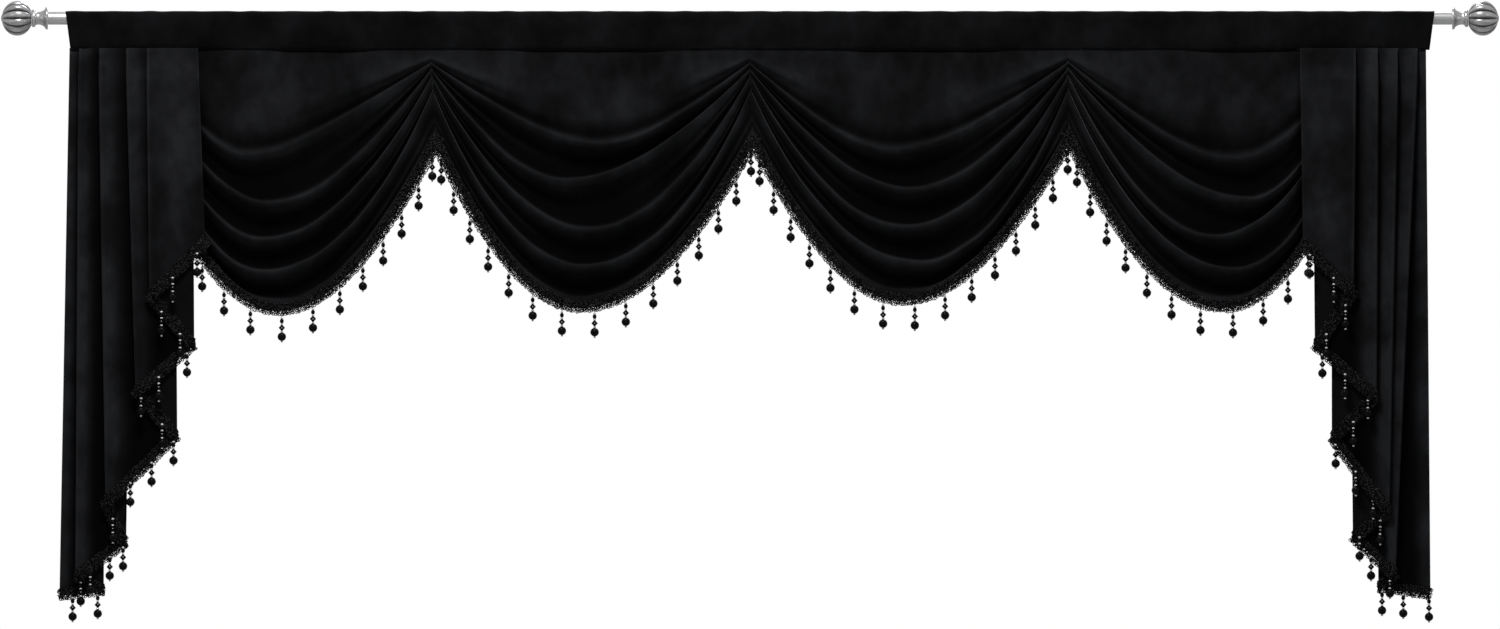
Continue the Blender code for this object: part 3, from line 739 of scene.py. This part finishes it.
def cascade_points(columns, z, side):
    """Points on one cascade for columns of its zigzag at heights z, and their painted light and
    shade.
    """
    layer, top_x, hem_x, hem_z, share, turn = columns.T
    x = top_x + (hem_x - top_x) * (SEAM_Z - z) / (SEAM_Z - hem_z)
    pitch = layer_y(layer + 1.0, z) - layer_y(layer, z)
    y = layer_y(layer, z) + pitch * (1.0 - np.cos(turn)) / 2.0
    faces_room = layer % 2 == 0
    outward = 1.0 if side == "right" else -1.0
    x = x + outward * np.where(faces_room, 1.0, -1.0) * pitch * 0.5 * np.sin(turn)
    opened = np.clip((OPEN_Z + 0.03 - z) / 0.20, 0.0, 1.0)
    to_fold = np.where(faces_room, share, 1.0 - share)
    roll = np.clip((to_fold - 0.58) / 0.30, 0.0, 1.0)
    y = y - ROLL_DEPTH * opened * roll * roll * (3.0 - 2.0 * roll)
    front = (layer == 0.0) & (turn == 0.0)
    y = y + np.where(front, INNER_EDGE_TURN * opened * np.exp(-(share / 0.10) ** 2), 0.0)
    # Painted light and shade: a painted glow on the front layer, painted shade on the inner
    # layers behind it, painted light where they roll forward to their folds, and painted
    # highlight lines at the folds and along the front layer's inner edge.
    painted_glow = np.exp(-((share - 0.40) / 0.26) ** 2) * np.exp(-((z + 0.32) / 0.17) ** 2)
    tone_and_painted_light = np.where(front, FRONT_LIGHT + GLOW_LIGHT[side] * painted_glow, INNER_SHADE + ROLL_LIGHT * roll ** 2.2)
    tone_and_painted_light = tone_and_painted_light + EDGE_HIGHLIGHT * np.exp(-((1.0 - np.where(turn > 0.0, 1.0, to_fold)) / 0.020) ** 2)
    tone_and_painted_light = tone_and_painted_light + np.where(front, INNER_EDGE_HIGHLIGHT * np.exp(-(share / 0.02) ** 2), 0.0)
    return np.stack([x, y, z], axis=-1), tone_and_painted_light


def cascade_mesh(name, turns, side):
    """A cascade's cloth, from its pleats at the top down to its slanting hem."""
    columns = cascade_columns(turns)
    hem_z = columns[:, 3]
    depth = np.linspace(0.0, 1.0, CASCADE_ROWS + 1)[:, None]
    z = SEAM_Z + (hem_z[None, :] - SEAM_Z) * depth
    points, tone_and_painted_light = cascade_points(columns, z, side)
    points[0, :, 2] += TUCK
    if side == "left":
        points, tone_and_painted_light = points[:, ::-1], tone_and_painted_light[:, ::-1]
    mesh = grid_mesh(name, points)
    lay_values(mesh, "tone_and_painted_light", tone_and_painted_light)
    return mesh


cascades = {}
for side, turns in CASCADES.items():
    name = "cascade_" + side
    cascade = add_piece(name + "_velvet", cascade_mesh(name + "_velvet", turns, side), velvet)
    give_thickness(cascade)
    cascades[name] = cascade


# The trim is a lace braid of looped black cord, about 26 mm wide. A close gimp is sewn on
# the face of each hem, and rows of loops lie on it and stand free below it. Distances are
# from the hem, positive away from the cloth.
LOOP_RADIUS = 0.0027
CORD_RADIUS = 0.0011
LOOP_PITCH = 0.0037
ROW_PITCH = 0.0031
ROW_COUNT = 7
FIRST_ROW = -0.0045
LACE_LIFT = 0.0010
CASCADE_LACE_LIFT = 0.0012
ROW_SCATTER = 0.35
ALONG_SCATTER = 0.3
DEPTH_SCATTER = 0.0007
LOOP_TILT = 0.45
GIMP_ROWS = (-0.0062, -0.0030, 0.0, 0.0038, 0.0078)
GIMP_THICKNESS = 0.0006
HEM_POINTS = 201
LAST_FOLD_HEIGHT = 0.085


def cord_material(name, scale, low, high):
    """Black cord, lighter where its fibres catch the light."""
    material, nodes, links, shader = node_material(name)
    fibres = noise_on_object(nodes, links, scale, 3.0)
    links.new(spread(nodes, links, fibres, low, high, 0.48, 0.70), shader.inputs["Base Color"])
    shader.inputs["Roughness"].default_value = 0.65
    shader.inputs["Specular IOR Level"].default_value = 0.06
    bump(nodes, links, shader, fibres, 0.3, 0.0003)
    return material


lace_black = cord_material("lace_black", 330.0, (0.0010, 0.0010, 0.0010), (0.060, 0.060, 0.062))
gimp_black = cord_material("gimp_black", 900.0, (0.0006, 0.0006, 0.0006), (0.004, 0.004, 0.004))


class TreeMaker:
    """Builds a Geometry Nodes tree; keys name the nodes' sockets."""

    def __init__(self, name, inputs):
        self.tree = bpy.data.node_groups.new(name, "GeometryNodeTree")
        face = self.tree.interface
        face.new_socket("Geometry", in_out="INPUT", socket_type="NodeSocketGeometry")
        face.new_socket("Geometry", in_out="OUTPUT", socket_type="NodeSocketGeometry")
        self.keys = {}
        for label, kind in inputs:
            socket = face.new_socket(label, in_out="INPUT", socket_type="NodeSocket" + kind)
            self.keys[label] = socket.identifier
        self.group = self.tree.nodes.new("NodeGroupInput")

    def value(self, label):
        return self.group.outputs[label]

    def add(self, kind, settings=None, **inputs):
        """Add a node; an input is a number or another node's output."""
        node = self.tree.nodes.new(kind)
        for key, value in (settings or {}).items():
            setattr(node, key, value)
        for key, value in inputs.items():
            socket = node.inputs[int(key[1:])] if key[0] == "i" and key[1:].isdigit() \
                else node.inputs[key.replace("_", " ")]
            if isinstance(value, bpy.types.NodeSocket):
                self.tree.links.new(value, socket)
            else:
                socket.default_value = value
        return node

    def math(self, operation, a, b=0.0):
        return self.add("ShaderNodeMath", {"operation": operation}, i0=a, i1=b).outputs[0]

    def vector(self, operation, a, b=(0.0, 0.0, 0.0)):
        return self.add("ShaderNodeVectorMath", {"operation": operation}, i0=a, i1=b).outputs[0]

    def scaled(self, a, scale):
        return self.add("ShaderNodeVectorMath", {"operation": "SCALE"}, i0=a,
                        Scale=scale).outputs[0]

    def random(self, low, high, seed):
        if isinstance(low, tuple):
            return self.add("FunctionNodeRandomValue", {"data_type": "FLOAT_VECTOR"},
                            i0=low, i1=high, Seed=seed).outputs[0]
        return self.add("FunctionNodeRandomValue", {"data_type": "FLOAT"},
                        i2=low, i3=high, Seed=seed).outputs[1]

    def finish(self, geometry, material):
        real = self.add("GeometryNodeRealizeInstances", i0=geometry).outputs[0]
        painted = self.add("GeometryNodeSetMaterial", Geometry=real, Material=material)
        output = self.tree.nodes.new("NodeGroupOutput")
        self.tree.links.new(painted.outputs[0], output.inputs[0])


def grown_piece(name, guide, maker, values, material):
    """Run a tree on a guide object and keep the result as a plain mesh piece."""
    grow = guide.modifiers.new("grow", "NODES")
    grow.node_group = maker.tree
    for label, value in values.items():
        grow[maker.keys[label]] = value
    grow[maker.keys["Material"]] = material
    bpy.context.view_layer.update()
    graph = bpy.context.evaluated_depsgraph_get()
    mesh = bpy.data.meshes.new_from_object(guide.evaluated_get(graph))
    bpy.data.objects.remove(guide, do_unlink=True)
    mesh.name = name
    piece = bpy.data.objects.new(name, mesh)
    bpy.context.collection.objects.link(piece)
    return piece


def guide_object(name, points, joined):
    """Points for a tree to start from, joined into one line where wanted."""
    mesh = bpy.data.meshes.new(name)
    edges = [(index, index + 1) for index in range(len(points) - 1)] if joined else []
    mesh.from_pydata([tuple(point) for point in points], edges, [])
    guide = bpy.data.objects.new(name, mesh)
    bpy.context.collection.objects.link(guide)
    return guide


# The lace: points along the hem are copied into rows below it, each moved a little, and a
# loop of cord is set at every one, turned and sized at random.
lace = TreeMaker("lace", (
    ("Loop Radius", "Float"), ("Cord Radius", "Float"), ("Loop Pitch", "Float"),
    ("Row Pitch", "Float"), ("Row Count", "Int"), ("First Row", "Float"), ("Seed", "Int"),
    ("Material", "Material")))
hem_line = lace.add("GeometryNodeMeshToCurve", Mesh=lace.value("Geometry"))
dots = lace.add("GeometryNodeCurveToPoints", {"mode": "LENGTH"},
                Curve=hem_line.outputs["Curve"], Length=lace.value("Loop Pitch"))
outward = lace.vector("NORMALIZE", lace.vector(
    "CROSS_PRODUCT", dots.outputs["Tangent"], (0.0, 1.0, 0.0)))
upness = lace.add("ShaderNodeSeparateXYZ", i0=outward).outputs["Z"]
outward = lace.scaled(outward, lace.math("MULTIPLY", lace.math("SIGN", upness), -1.0))
rows = lace.add("GeometryNodeDuplicateElements", {"domain": "POINT"},
                Geometry=dots.outputs["Points"], Amount=lace.value("Row Count"))
row = rows.outputs["Duplicate Index"]
seed = lace.value("Seed")
out_by = lace.math("ADD", lace.value("First Row"), lace.math(
    "MULTIPLY", lace.math("ADD", row, lace.random(-ROW_SCATTER, ROW_SCATTER, seed)),
    lace.value("Row Pitch")))
along_by = lace.math("MULTIPLY", lace.value("Loop Pitch"), lace.math(
    "ADD", lace.math("MULTIPLY", lace.math("MODULO", row, 2.0), 0.5),
    lace.random(-ALONG_SCATTER, ALONG_SCATTER, lace.math("ADD", seed, 1.0))))
shift = lace.vector("ADD", lace.scaled(outward, out_by),
                    lace.scaled(dots.outputs["Tangent"], along_by))
shift = lace.vector("ADD", shift, lace.random(
    (0.0, -DEPTH_SCATTER, 0.0), (0.0, DEPTH_SCATTER, 0.0), lace.math("ADD", seed, 2.0)))
placed = lace.add("GeometryNodeSetPosition", Geometry=rows.outputs["Geometry"], Offset=shift)
loop_line = lace.add("GeometryNodeCurvePrimitiveCircle", Resolution=6,
                     Radius=lace.value("Loop Radius"))
cord_line = lace.add("GeometryNodeCurvePrimitiveCircle", Resolution=3,
                     Radius=lace.value("Cord Radius"))
loop_mesh = lace.add("GeometryNodeCurveToMesh", Curve=loop_line.outputs["Curve"],
                     Profile_Curve=cord_line.outputs["Curve"])
loop_up = lace.add("GeometryNodeTransform", Geometry=loop_mesh.outputs["Mesh"],
                   Rotation=(math.pi / 2.0, 0.0, 0.0))
loops = lace.add(
    "GeometryNodeInstanceOnPoints", Points=placed.outputs["Geometry"],
    Instance=loop_up.outputs["Geometry"],
    Rotation=lace.random((-LOOP_TILT, 0.0, -LOOP_TILT), (LOOP_TILT, math.tau, LOOP_TILT),
                         lace.math("ADD", seed, 3.0)),
    Scale=lace.random((0.65, 1.0, 0.9), (1.0, 1.0, 1.35), lace.math("ADD", seed, 4.0)))
lace.finish(loops.outputs["Instances"], lace.value("Material"))
LACE_SIZES = {"Loop Radius": LOOP_RADIUS, "Cord Radius": CORD_RADIUS, "Loop Pitch": LOOP_PITCH,
              "Row Pitch": ROW_PITCH, "Row Count": ROW_COUNT, "First Row": FIRST_ROW}

lace_lines = {}
for number in range(len(SWAG_FOLDS)):
    hem = swag_surface(number, np.linspace(-1.0, 1.0, HEM_POINTS), HEM_LEVEL)[0]
    hem[:, 1] -= VELVET_THICKNESS
    lace_lines[f"swag_{number + 1}"] = hem
for side, turns in CASCADES.items():
    columns = cascade_columns(turns)
    hem = cascade_points(columns, columns[:, 3], side)[0]
    hem[:, 1] -= np.where(columns[:, 0] % 2 == 0, CASCADE_LACE_LIFT, 0.0)
    lace_lines["cascade_" + side] = hem


def gimp_points(line, lift):
    """Rows of points for the gimp, off the hem and square to it as seen from the room.

    lift holds, for each row, how far the cloth under it stands forward of the hem.
    """
    slope = np.gradient(line, axis=0)
    outward = np.stack([slope[:, 2], -slope[:, 0]], axis=-1)
    outward /= np.maximum(np.linalg.norm(outward, axis=1), 1e-9)[:, None]
    outward *= -np.sign(outward[:, 1:] + 1e-9)
    rows = []
    for distance, forward in zip(GIMP_ROWS, lift):
        row = line.copy()
        row[:, 0] += outward[:, 0] * distance
        row[:, 2] += outward[:, 1] * distance
        row[:, 1] -= forward
        rows.append(row)
    return np.array(rows)


laces, gimps = {}, {}
for index, (name, line) in enumerate(lace_lines.items()):
    laces[name] = grown_piece(
        "lace_" + name, guide_object("hem_line", line - (0.0, LACE_LIFT, 0.0), True), lace,
        {**LACE_SIZES, "Seed": 20 + 10 * index}, lace_black)
    lift = [0.0] * len(GIMP_ROWS)
    if name.startswith("swag"):
        number = int(name[-1]) - 1
        across = np.linspace(-1.0, 1.0, HEM_POINTS)
        levels = [HEM_LEVEL + min(distance, 0.0) / LAST_FOLD_HEIGHT for distance in GIMP_ROWS]
        lift = [line[:, 1] + VELVET_THICKNESS - swag_surface(number, across, level)[0][:, 1]
                for level in levels]
    gimp = add_piece("gimp_" + name, grid_mesh("gimp_" + name, gimp_points(line, lift)),
                     gimp_black)
    solid = gimp.modifiers.new("braid thickness", "SOLIDIFY")
    solid.thickness = GIMP_THICKNESS
    solid.offset = 0.0
    gimps[name] = gimp


# From the braid hang strings of glass beads: a pearl seed, a black oval, a pearl seed, a
# black faceted diamond, a pearl seed, and a black ball with a last seed below it.
TRIM_WIDTH = 0.016
STRING_TOP = 0.006
CASCADE_DROP_TILT = math.radians(-7.5)
CASCADE_DROP_TOP = 0.008
CASCADE_DROP_LIFT = 0.0038
# For each swag: the first drop's distance from the left end of the braid's edge, the
# spacing of the drops and their count.
SWAG_DROPS = ((0.277, 0.0655, 11), (0.030, 0.0664, 15), (0.034, 0.0645, 15),
              (0.0475, 0.0660, 11))
EDGE_POINTS = 15

jet_glass, nodes, links, shader = node_material("jet_glass")
speckle = noise_on_object(nodes, links, 160.0, 2.0)
links.new(spread(nodes, links, speckle, (0.002, 0.002, 0.0025), (0.006, 0.006, 0.007)),
          shader.inputs["Base Color"])
shader.inputs["Roughness"].default_value = 0.22
shader.inputs["Specular IOR Level"].default_value = 0.06
# White for the seed beads, and for the painted glint on the diamond's face.
pearl_and_glint, nodes, links, shader = node_material("pearl_and_glint")
lustre = noise_on_object(nodes, links, 220.0, 2.0)
links.new(spread(nodes, links, lustre, (0.90, 0.90, 0.89), (0.97, 0.97, 0.96)),
          shader.inputs["Base Color"])
shader.inputs["Roughness"].default_value = 0.22
shader.inputs["Coat Weight"].default_value = 0.4


def bead(maker, segments, rings, radius, half_height, depth, smooth=True, forward=0.0):
    """One bead of a string, its middle at a depth below the braid's edge."""
    ball = maker.add("GeometryNodeMeshUVSphere", Segments=segments, Rings=rings, Radius=1.0)
    placed = maker.add("GeometryNodeTransform", Geometry=ball.outputs["Mesh"],
                       Translation=(0.0, -forward, -depth),
                       Scale=(radius, radius, half_height))
    shaded = maker.add("GeometryNodeSetShadeSmooth", Geometry=placed.outputs["Geometry"],
                       Shade_Smooth=smooth)
    return shaded.outputs["Geometry"]


def string_tree(name, beads, thread):
    """A tree that hangs the same beads, and a thread where wanted, at every point."""
    maker = TreeMaker(name, (("Tilt", "Vector"), ("Material", "Material")))
    joined = maker.add("GeometryNodeJoinGeometry")
    parts = [bead(maker, *sizes) for sizes in beads]
    if thread:
        radius, top, bottom = thread
        rod_mesh = maker.add("GeometryNodeMeshCylinder", Vertices=5, Radius=radius,
                             Depth=top - bottom)
        parts.append(maker.add(
            "GeometryNodeTransform", Geometry=rod_mesh.outputs["Mesh"],
            Translation=(0.0, 0.0, (top + bottom) / 2.0)).outputs["Geometry"])
    for part in parts:
        maker.tree.links.new(part, joined.inputs[0])
    hung = maker.add("GeometryNodeInstanceOnPoints", Points=maker.value("Geometry"),
                     Instance=joined.outputs["Geometry"], Rotation=maker.value("Tilt"))
    maker.finish(hung.outputs["Instances"], maker.value("Material"))
    return maker


# Each bead is (sides, rings, radius, half height, depth below the braid's edge, smooth) and,
# where it isn't on the thread, how far forward it sits: the small third one is a painted
# glint, a tiny white bead in the front of the diamond where its facet would catch the light.
# The thread is (radius, top, bottom).
jet_string = string_tree("jet_string", (
    (10, 8, 0.0040, 0.0050, 0.0128, True),
    (8, 2, 0.0066, 0.0074, 0.0262, False),
    (16, 10, 0.0087, 0.0087, 0.0440, True),
), (0.0009, STRING_TOP, -0.053))
pearl_and_glint_string = string_tree("pearl_and_glint_string", (
    (8, 6, 0.0029, 0.0021, 0.0064, True),
    (8, 6, 0.0029, 0.0020, 0.0189, True),
    (8, 6, 0.0008, 0.0010, 0.0262, True, 0.0062),
    (8, 6, 0.0029, 0.0021, 0.0339, True),
    (8, 6, 0.0024, 0.0018, 0.0541, True),
), None)


def swag_drop_places(number):
    """Places at even steps along the braid's outer edge."""
    across = np.linspace(-1.0, 1.0, EDGE_POINTS)
    hem, before, after = (
        swag_surface(number, np.clip(across + step, -1.0, 1.0), HEM_LEVEL)[0]
        for step in (0.0, -0.01, 0.01))
    slope = after - before
    outward = np.stack([slope[:, 2], 0.0 * across, -slope[:, 0]], axis=-1)
    outward /= np.linalg.norm(outward, axis=1)[:, None]
    outward[:, 2] -= 1.5 * across ** 8
    outward /= np.linalg.norm(outward, axis=1)[:, None]
    edge = hem + outward * TRIM_WIDTH
    edge[:, 0] = np.clip(edge[:, 0], side_seam_x(number, edge[:, 2]) - SEAM_OVERLAP,
                         side_seam_x(number + 1, edge[:, 2]) + SEAM_OVERLAP)
    steps = np.linalg.norm(np.diff(edge, axis=0), axis=1)
    length = np.concatenate([[0.0], np.cumsum(steps)])
    first, spacing, count = SWAG_DROPS[number]
    wanted = first + spacing * np.arange(count)
    return np.stack([np.interp(wanted, length, edge[:, axis]) for axis in range(3)], axis=-1)


# For each swag and cascade: where its strings hang from, and how far they tilt.
drop_places = {f"swag_{number + 1}": (swag_drop_places(number), 0.0)
               for number in range(len(SWAG_FOLDS))}
for side, turns in CASCADES.items():
    places = []
    for layer, (start, end) in enumerate(zip(turns, turns[1:])):
        for share in start[3]:
            top_x, hem_x, hem_z = (a + (b - a) * share for a, b in zip(start[:3], end[:3]))
            z = hem_z - CASCADE_DROP_TOP
            x = top_x + (hem_x - top_x) * (SEAM_Z - z) / (SEAM_Z - hem_z)
            places.append((x, float(layer_y(layer, z)) - CASCADE_DROP_LIFT, z))
    drop_places["cascade_" + side] = (places, CASCADE_DROP_TILT)

for name, (places, tilt) in drop_places.items():
    jets = grown_piece("jet_beads_" + name, guide_object("drops", places, False), jet_string,
                       {"Tilt": (tilt, 0.0, 0.0)}, jet_glass)
    pearls_and_glint = grown_piece("pearl_seeds_" + name, guide_object("drops", places, False),
                         pearl_and_glint_string, {"Tilt": (tilt, 0.0, 0.0)}, pearl_and_glint)
    cloth = swags.get(name) or cascades.get(name)
    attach(cloth, "root")
    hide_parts(name)
    trim = [laces[name], gimps[name], jets, pearls_and_glint]
    for piece in trim:
        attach(piece, "root")
        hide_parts("trim_" + name)
